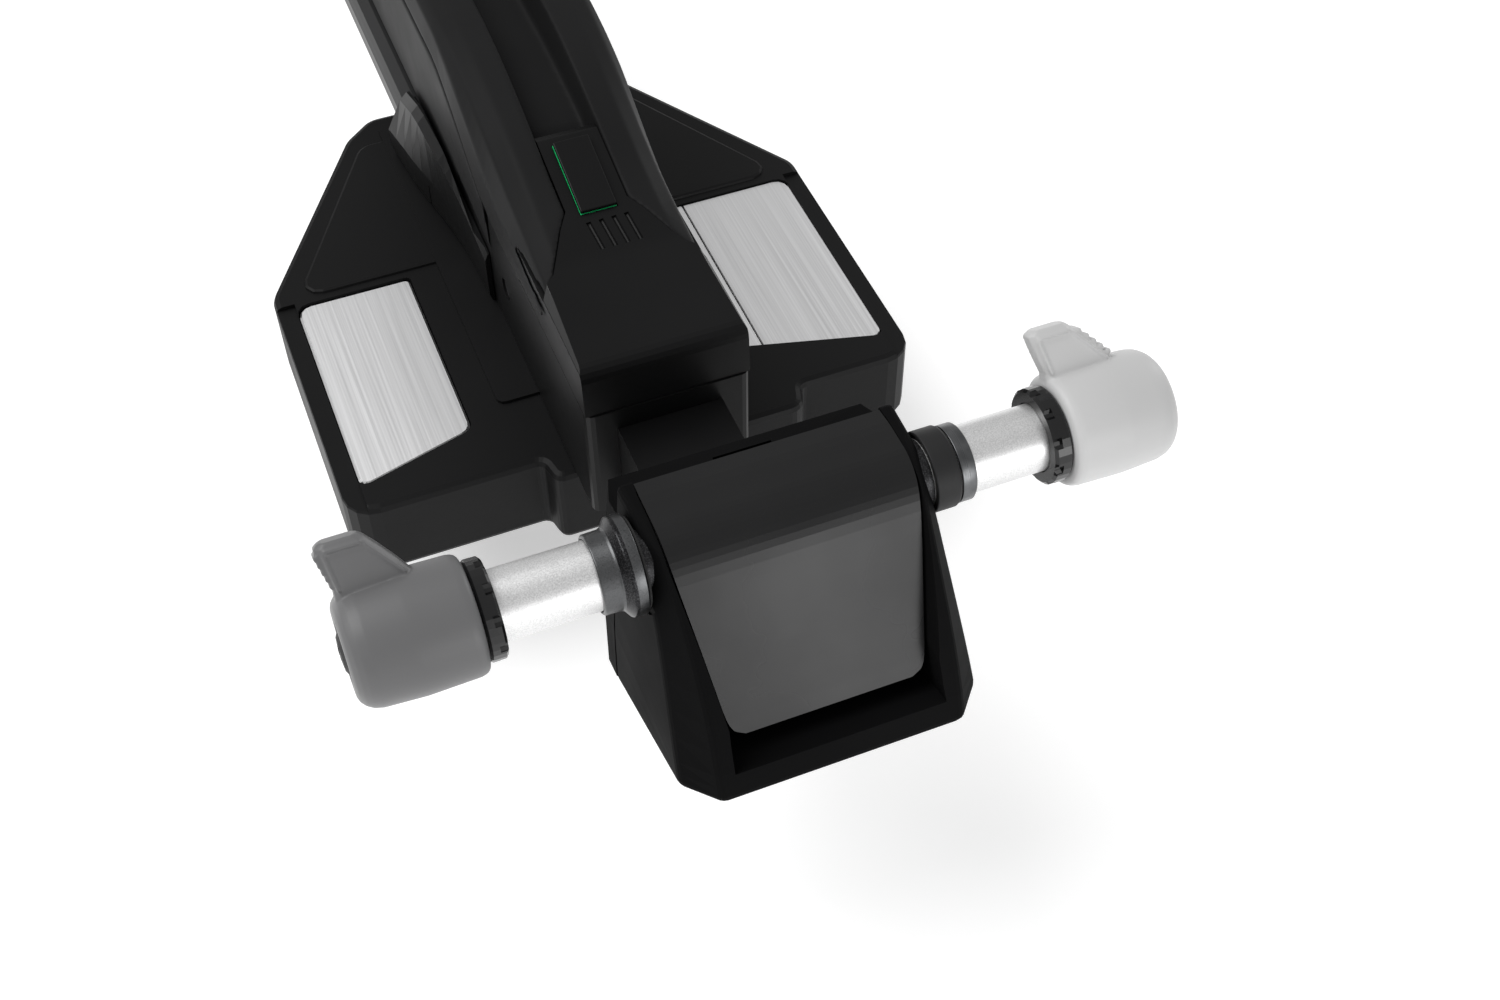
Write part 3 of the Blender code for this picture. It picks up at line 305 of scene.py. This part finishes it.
def speckled(name, colour, roughness, metallic, band):
    """Bead-blasted metal: a sparkle of tiny pits, with a ring of painted shade round the axle."""
    paint = Paint(name, colour, roughness, metallic=metallic)
    pits = paint.noise(2600.0, 3.0)
    paint.shade(pits, 0.82, 1.12)
    # painted shade between the two places along the axle
    paint.painted_shade_band(band, pits)
    paint.rough(pits, 0.07)
    paint.bump(pits, 0.00003, 0.6)
    return paint.material


def rubber(name, colour):
    """Dull rubber with an uneven, slightly dusty face."""
    paint = Paint(name, colour, 0.78, ior=1.35)
    paint.shade(paint.noise(60.0, 4.0), 0.7, 1.6)
    paint.bump(paint.noise(900.0, 4.0), 0.00006, 0.8)
    return paint.material


def anodised(name, colour):
    """Black anodised extrusion, with faint die lines along its length."""
    paint = Paint(name, colour, 0.34, metallic=0.35)
    lines = paint.noise(1.0, 2.0, (2200.0, 3.0, 2200.0))
    paint.rough(lines, 0.05)
    paint.shade(paint.noise(14.0, 2.0), 0.85, 1.2)
    paint.bump(lines, 0.000012, 0.5)
    return paint.material


def webbing(name, colour):
    """The flexible plastic of the ratchet strap, with a pebbled face."""
    paint = Paint(name, colour, 0.55, ior=1.4)
    paint.shade(paint.noise(40.0, 3.0), 0.8, 1.4)
    paint.bump(paint.cells(900.0), 0.00005, 0.7)
    return paint.material


MATERIALS = {
    "black_plastic": moulded("satin_black", (0.006, 0.006, 0.0062), 0.36, 1.22),
    "head": moulded("head_black", (0.005, 0.005, 0.0052), 0.6, 1.08, 1300.0, 0.00002),
    "deck": moulded("deck_black", (0.006, 0.006, 0.0062), 0.46, 1.22, 1100.0, 0.00003),
    "gloss_black": moulded("gloss_black", (0.006, 0.006, 0.0063), 0.16, 1.45, 900.0, 0.000004),
    "flap": moulded("flap_black", (0.008, 0.008, 0.0083), 0.27, 1.35, 1200.0, 0.000006),
    "shell": moulded("shell_grey", (0.014, 0.014, 0.0143), 0.5, 1.13),
    "soft_black": moulded("soft_black", (0.012, 0.012, 0.0124), 0.55, 1.35, 1000.0, 0.00004),
    "knob_grey": moulded("knob_grey", (0.125, 0.125, 0.127), 0.42, 1.4, 1500.0, 0.00002),
    "pale_grey": moulded("pale_grey", (0.54, 0.54, 0.54), 0.42, 1.4, 1500.0, 0.00002),
    "green": moulded("green", (0.02, 0.55, 0.17), 0.3, 1.45),
    "black_rubber": rubber("rubber", (0.016, 0.016, 0.016)),
    "aluminium": brushed("brushed_plate", (0.86, 0.86, 0.865), 0.42),
    # the middle of the tube, inside the head and next to it, gets painted shade
    "frosted_silver": speckled("frosted_tube", (0.80, 0.80, 0.80), 0.40, 0.85, (-42.4, 42.4)),
    "steel": turned_steel("turned_steel", (0.13, 0.133, 0.137), 0.34),
    # the cone washer gets painted shade between -49.2 and -46.2 mm along the axle
    "cone": speckled("coned_steel", (0.11, 0.112, 0.115), 0.34, 1.0, (-49.2, -46.2)),
    "tray_black": anodised("anodised_tray", (0.014, 0.014, 0.0145)),
    "strap_black": webbing("strap_black", (0.014, 0.014, 0.0145)),
}

# the nodes whose finish isn't the one of their slot
OTHER_FINISH = {
    "tray_shroud": "shell", "tray_fairing": "shell", "front_flap": "flap", "base_moulding": "deck",
    "head_housing": "head", "head_back_cover": "head",
}

# the nodes whose faces flow into each other
FLOWING = ("tray_shroud", "tray_fairing")

# node: bevel width in millimetres, and the edge angle it starts from in degrees
EDGES = {
    "head_housing": (1.0, 22), "head_back_cover": (1.0, 25), "front_flap": (0.7, 40), "neck": (1.0, 25),
    "base_moulding": (0.9, 25), "lower_housing": (0.9, 30), "top_cover": (0.9, 25),
    "left_rail_socket": (0.9, 24), "right_rail_socket": (0.9, 24), "tray_floor": (0.3, 30),
    "left_tray_rail": (0.4, 30), "right_tray_rail": (0.4, 30), "tray_end_cap": (0.5, 30),
    "rear_foot": (1.2, 30), "rear_clamp_jaw": (1.2, 30), "wheel_cradle": (1.0, 24),
    "buckle_frame": (0.6, 30), "buckle_lever": (0.8, 30), "wheel_strap": (0.3, 40),
    "left_strap_anchor": (0.3, 30), "right_strap_anchor": (0.3, 30), "left_collar": (0.25, 35),
    "right_collar": (0.25, 35), "lock_core": (0.3, 30), "right_knob_cap": (0.3, 30),
    "front_bar_pad": (0.5, 40), "front_clamp_pad": (0.5, 40), "rear_bar_pad": (0.5, 40),
    "inner_arm": (0.5, 30), "button_skirt": (0.2, 30),
}


def even_shading(piece):
    normals = piece.modifiers.new("normals", "WEIGHTED_NORMAL")
    normals.weight = 80


def smooth_faces(piece, width=0.0, angle=30.0):
    """Clean flat faces, edges rounded by a width in millimetres, and smooth shading, all as modifiers."""
    flat = piece.modifiers.new("faces", "DECIMATE")
    flat.decimate_type = "DISSOLVE"
    flat.angle_limit = math.radians(0.6)
    if width:
        edge = piece.modifiers.new("edges", "BEVEL")
        edge.width = width * MM
        edge.segments = 3
        edge.limit_method = "ANGLE"
        edge.angle_limit = math.radians(angle)
        edge.use_clamp_overlap = True
        edge.miter_outer = "MITER_ARC"
    even_shading(piece)


def one_skin(piece, voxel, passes, kept):
    """One smooth skin, as modifiers: a voxel in millimetres, smoothing passes, the share of faces kept."""
    skin = piece.modifiers.new("skin", "REMESH")
    skin.mode = "VOXEL"
    skin.voxel_size = voxel * MM
    skin.use_smooth_shade = True
    soft = piece.modifiers.new("soft", "SMOOTH")
    soft.factor = 0.5
    soft.iterations = passes
    fewer = piece.modifiers.new("fewer_faces", "DECIMATE")
    fewer.ratio = kept


def finish_cad():
    """Each carried-over CAD piece gets the finish of its slot, or one of its own."""
    for row in frame["record"]["subparts"]:
        node = row["node"]
        piece = NODES[node]
        piece.data.materials.clear()
        piece.data.materials.append(MATERIALS[OTHER_FINISH.get(node, row["material_slot"])])
        piece.data.shade_smooth()
        if node in FLOWING:
            one_skin(piece, 0.7, 14, 0.35)
        else:
            smooth_faces(piece, *EDGES.get(node, ()))


# ---------------------------------------------------------------- shapes

def add(name, bm, finish, body):
    """A new piece from a bmesh in the CAD frame, riding on a body."""
    mesh = bpy.data.meshes.new(name)
    bmesh.ops.recalc_face_normals(bm, faces=bm.faces)
    bm.to_mesh(mesh)
    bm.free()
    mesh.materials.append(MATERIALS[finish])
    mesh.shade_smooth()
    piece = link_object(name, mesh)
    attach(piece, body)
    return piece


def ring_body(bm, profile, sides):
    """Adds a solid turned about the axle; the profile lists (x, radius) in millimetres round its section."""
    rows = []
    for step in range(sides):
        turn = math.tau * step / sides
        across, up = math.cos(turn) * MM, math.sin(turn) * MM
        rows.append([bm.verts.new((x * MM, AXLE.y + r * across, AXLE.z + r * up)) for x, r in profile])
    for row, after in zip(rows, rows[1:] + rows[:1]):
        for i, vertex in enumerate(row):
            j = (i + 1) % len(row)
            bm.faces.new((vertex, row[j], after[j], after[i]))


def rod_body(bm, a, b, radius):
    """Adds a round bar from a to b, with a radius in millimetres."""
    turn = (b - a).to_track_quat("Z", "Y").to_matrix().to_4x4()
    bmesh.ops.create_cone(bm, cap_ends=True, segments=12, radius1=radius * MM, radius2=radius * MM,
                          depth=(b - a).length, matrix=Matrix.Translation((a + b) / 2) @ turn)


def loft_body(bm, rings):
    """Adds a capped solid through rings of the same number of points."""
    rows = [[bm.verts.new(p) for p in ring] for ring in rings]
    count = len(rows[0])
    for low, high in zip(rows, rows[1:]):
        for i in range(count):
            j = (i + 1) % count
            bm.faces.new((low[i], low[j], high[j], high[i]))
    bm.faces.new(rows[0])
    bm.faces.new(rows[-1])


# ---------------------------------------------------------------- the turned pieces on the axle

TUBE_END = 86.0
TUBE_R = 10.0
BORE = TUBE_R + 0.3
STOP = 55.0             # half the width of the hub that the fork ends are made for
FLANGE_R = 14.3
WASHER_R = 11.4


def turned(name, node, profile, finish):
    """A turned piece of the carrier in full roundness."""
    bm = bmesh.new()
    ring_body(bm, profile, 128)
    piece = add(name, bm, finish, "carrier")
    even_shading(piece)
    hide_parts(node)


def axle_pieces():
    turned("axle_tube_body", "axle_tube",
           [(-TUBE_END, 5.5), (-TUBE_END, TUBE_R - 0.6), (0.6 - TUBE_END, TUBE_R), (TUBE_END - 0.6, TUBE_R),
            (TUBE_END, TUBE_R - 0.6), (TUBE_END, 5.5)], "frosted_silver")
    turned("left_cone_washer_body", "left_cone_washer",
           [(-STOP, BORE), (-STOP, WASHER_R - 0.4), (0.4 - STOP, WASHER_R), (-50.0, 11.5), (-49.0, 12.0),
            (-47.6, FLANGE_R - 0.3), (-47.0, FLANGE_R), (-43.7, FLANGE_R), (-43.2, 13.9), (-43.2, BORE)],
           "cone")
    turned("right_spacer_body", "right_spacer_ring",
           [(42.5, BORE), (42.5, 11.7), (42.9, 12.0), (49.2, 12.0), (49.9, 11.6), (50.2, 11.2), (50.2, BORE)],
           "soft_black")
    turned("right_washer_body", "right_washer",
           [(50.5, BORE), (50.5, WASHER_R - 0.3), (50.8, WASHER_R), (STOP - 0.5, WASHER_R),
            (STOP, WASHER_R - 0.5), (STOP, BORE)], "steel")


# ---------------------------------------------------------------- the clamp knobs

FIN_LEAN = math.radians(57.0)
FIN_OUT = Vector((0.0, math.cos(FIN_LEAN), math.sin(FIN_LEAN)))
FIN_ACROSS = Vector((0.0, -math.sin(FIN_LEAN), math.cos(FIN_LEAN)))

KNOB_R = 17.0
COLLAR_BORE = 10.6
COLLAR_DEPTH = 14.6
CAP_R, CAP_DEPTH = 8.5, 2.9
SHAFT_BORE = 4.4

FIN_FOOT, FIN_TOP = 17.5, 29.4              # reach from the axle
FIN_FOOT_HALF, FIN_TOP_HALF = 10.2, 6.7     # half widths there
FIN_EDGE = 1.6
# reach from the axle, how far towards the tip's place along the axle, half width, thickness
FIN_RINGS = ((12.0, 0.0, 10.6, 8.6), (FIN_FOOT, 0.0, FIN_FOOT_HALF, 7.6), (21.0, 0.28, 9.4, 7.4),
             (26.0, 0.7, 7.9, 7.2), (FIN_TOP, 1.0, FIN_TOP_HALF, 6.6), (30.7, 1.0, 5.2, 5.0))
SERRATIONS = 5
BORDER_ACROSS = 3.75
# the raised border's three bars: each end's share of the half width, and its reach
BORDER = (((-0.86, 17.5), (-0.74, 28.0)), ((-0.70, 28.6), (0.70, 28.6)), ((0.74, 28.0), (0.86, 17.5)))


def between(a, b, part):
    return a + (b - a) * part


def fin_point(x, reach, across):
    """A point of a fin: x along the axle, reach out from it, and across the fin's thickness."""
    return Vector((x * MM, AXLE.y, AXLE.z)) + FIN_OUT * reach * MM + FIN_ACROSS * across * MM


def knob_profile(length):
    """The knob's section from its collar end: a barrel with soft ends, and its stepped bore."""
    r = KNOB_R
    return [(0.0, COLLAR_BORE), (0.0, r - 2.6), (0.5, r - 1.2), (1.4, r - 0.5), (3.0, r - 0.1),
            (length * 0.5, r + 0.3), (length - 6.0, r - 0.3), (length - 3.6, r - 0.9),
            (length - 1.8, r - 2.0), (length - 0.6, r - 3.4), (length, r - 5.0), (length, CAP_R),
            (length - CAP_DEPTH, CAP_R), (length - CAP_DEPTH, SHAFT_BORE), (COLLAR_DEPTH, SHAFT_BORE),
            (COLLAR_DEPTH, COLLAR_BORE)]


def fin_body(bm, base_x, tip_x):
    """Adds the tapered thumb fin, which leans along the axle from base_x to tip_x."""
    rings = []
    for reach, part, half, thick in FIN_RINGS:
        x, side = between(base_x, tip_x, part), thick / 2
        outline = [(-half, FIN_EDGE - side), (FIN_EDGE - half, -side), (half - FIN_EDGE, -side),
                   (half, FIN_EDGE - side), (half, side - FIN_EDGE), (half - FIN_EDGE, side),
                   (FIN_EDGE - half, side), (-half, side - FIN_EDGE)]
        rings.append([fin_point(x + u, reach, v) for u, v in outline])
    loft_body(bm, rings)


def fin_serrations(bm, base_x, tip_x, sign):
    """Adds short bars along the fin's outer edge."""
    for step in range(SERRATIONS):
        part = step / (SERRATIONS - 1)
        reach = 19.0 + 8.2 * part
        x = between(base_x, tip_x, part * 0.8) + sign * (9.9 - 2.4 * part)
        rod_body(bm, fin_point(x, reach, -2.9), fin_point(x, reach, 2.9), 0.95)


def fin_border(bm, base_x, tip_x):
    """Adds the raised border on both of the fin's faces."""
    for ends in BORDER:
        for across in (-BORDER_ACROSS, BORDER_ACROSS):
            points = []
            for share, reach in ends:
                part = (reach - FIN_FOOT) / (FIN_TOP - FIN_FOOT)
                x = between(base_x, tip_x, part) + share * between(FIN_FOOT_HALF, FIN_TOP_HALF, part)
                points.append(fin_point(x, reach, across * (1 - 0.06 * part)))
            rod_body(bm, *points, 0.55)


def clamp_knob(name, node, body, inner, outer, base_x, tip_x, finish):
    """A knob with a thumb fin: one moulded body with soft fillets."""
    sign = 1.0 if outer > inner else -1.0
    bm = bmesh.new()
    ring_body(bm, [(inner + sign * x, r) for x, r in knob_profile(abs(outer - inner))], 96)
    fin_body(bm, base_x, tip_x)
    fin_serrations(bm, base_x, tip_x, sign)
    fin_border(bm, base_x, tip_x)
    piece = add(name, bm, finish, body)
    one_skin(piece, 0.42, 4, 0.3)
    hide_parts(node)


def knobs():
    clamp_knob("left_knob_body", "left_knob", "left_hand_knob", -87.8, -123.2, -111.0, -116.5, "knob_grey")
    clamp_knob("right_knob_body", "right_knob", "right_hand_knob", 83.8, 117.9, 94.4, 87.5, "pale_grey")


# ---------------------------------------------------------------- the scene

camera()
studio()
floor()
finish_cad()
knobs()
axle_pieces()
